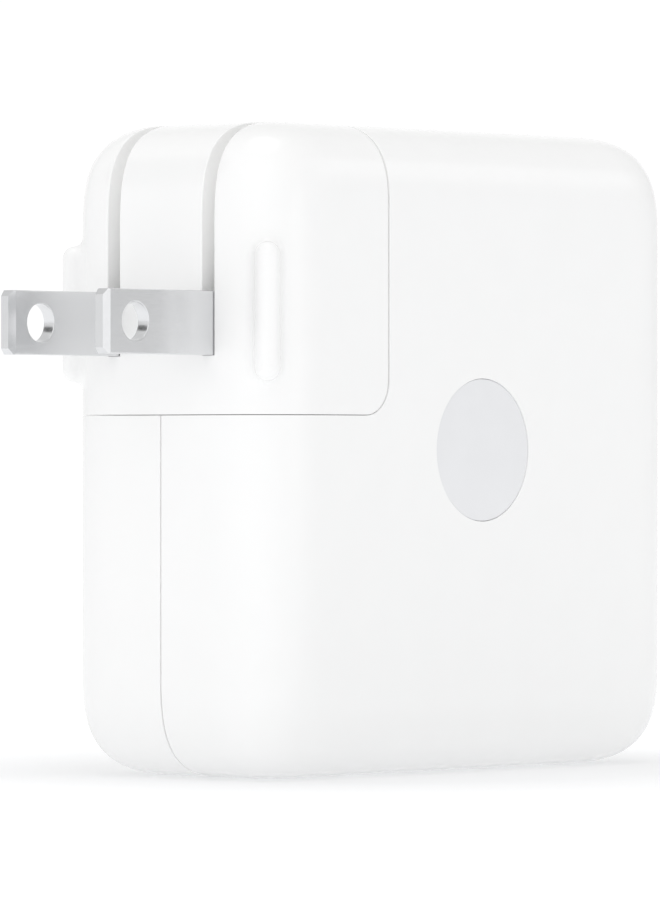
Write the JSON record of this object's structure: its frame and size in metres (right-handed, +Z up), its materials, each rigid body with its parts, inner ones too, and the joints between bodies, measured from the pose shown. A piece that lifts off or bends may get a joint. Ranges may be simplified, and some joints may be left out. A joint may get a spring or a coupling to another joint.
{
  "type": "laptop power adapter",
  "caption": "Square soft-edged wall-plug power brick with a removable corner plug module, two folding flat blades, grip ribs and an oval outlet port.",
  "frame": {"origin": "centre of the bottom face that the brick stands on", "axes": "+Z up, -X the way the blades point into the wall socket, +X the outlet port's side, -Y the large front face with the round badge"},
  "size_m": [0.0812, 0.0288, 0.0655],
  "materials": {
    "shell_white": "polished white polycarbonate",
    "badge_grey": "pale grey, polished",
    "inner_white": "fine matt moulded finish",
    "nickel_plate": "satin nickel plate",
    "spring_steel": "rolled, satin",
    "gilt_bronze": "thin gold plate, satin",
    "aluminium": "rolled sheet, satin",
    "insulating_sheet": "fibre sheet, matt",
    "thermal_pad": "soft silicone, matt",
    "circuit_board": "green solder mask, satin",
    "ferrite": "pressed ferrite, matt",
    "copper_wire": "enamelled copper, glossy",
    "tinned_wire": "tinned copper, satin",
    "black_moulding": "epoxy moulding, matt",
    "film_yellow": "moulded box, satin",
    "disc_green": "dipped ceramic disc",
    "disc_blue": "dipped ceramic disc",
    "can_sleeve": "shrink sleeve",
    "coil_tape": "polyester tape"
  },
  "bodies": {
    "brick": {"front_shell": "shell_white", "back_shell": "shell_white", "badge_inlay": "badge_grey", "inlet_housing": "inner_white", "inlet_pin_line": "nickel_plate", "inlet_pin_neutral": "nickel_plate", "inlet_leads": "tinned_wire", "retaining_stud": "spring_steel", "front_heat_spreader": "aluminium", "back_heat_spreader": "aluminium", "front_insulator": "insulating_sheet", "back_insulator": "insulating_sheet", "thermal_pad_front": "thermal_pad", "thermal_pad_back": "thermal_pad", "main_board": "circuit_board", "fuse": "black_moulding", "thermistor": "disc_green", "x_capacitor": "film_yellow", "input_choke_core": "ferrite", "input_choke_windings": "copper_wire", "bridge_rectifier": "black_moulding", "input_inductor": "ferrite", "bulk_capacitor": "can_sleeve", "primary_heatsink": "aluminium", "primary_switch": "black_moulding", "heatsink_screw": "spring_steel", "transformer_core": "ferrite", "transformer_bobbin": "black_moulding", "transformer_winding": "coil_tape", "y_capacitor": "disc_blue", "optocoupler": "black_moulding", "controller_chip": "black_moulding", "output_board": "circuit_board", "output_rectifier": "black_moulding", "output_inductor": "ferrite", "output_capacitors": "aluminium", "usb_c_shell": "nickel_plate", "usb_c_frame": "black_moulding", "usb_c_tongue": "black_moulding", "usb_c_contacts": "gilt_bronze"},
    "plug_module": {"plug_shell": "shell_white", "plug_inner_cover": "inner_white", "socket_block": "inner_white", "socket_contact_line": "gilt_bronze", "socket_contact_neutral": "gilt_bronze", "contact_spring_line": "gilt_bronze", "contact_spring_neutral": "gilt_bronze", "stud_spring": "spring_steel", "hinge_bracket_front": "inner_white", "hinge_bracket_back": "inner_white", "blade_detent_spring": "spring_steel"},
    "blades": {"blade_front": "nickel_plate", "blade_back": "nickel_plate", "blade_carrier": "inner_white"}
  },
  "joints": [
    {"name": "plug_slide", "type": "slide", "parent": "brick", "child": "plug_module", "axis": [0, 0, 1], "range_m": [0, 0.03]},
    {"name": "blade_fold", "type": "hinge", "parent": "plug_module", "child": "blades", "pos_m": [-0.02875, 0, 0.0453], "axis": [0, 1, 0], "range_deg": [0, 90]}
  ]
}
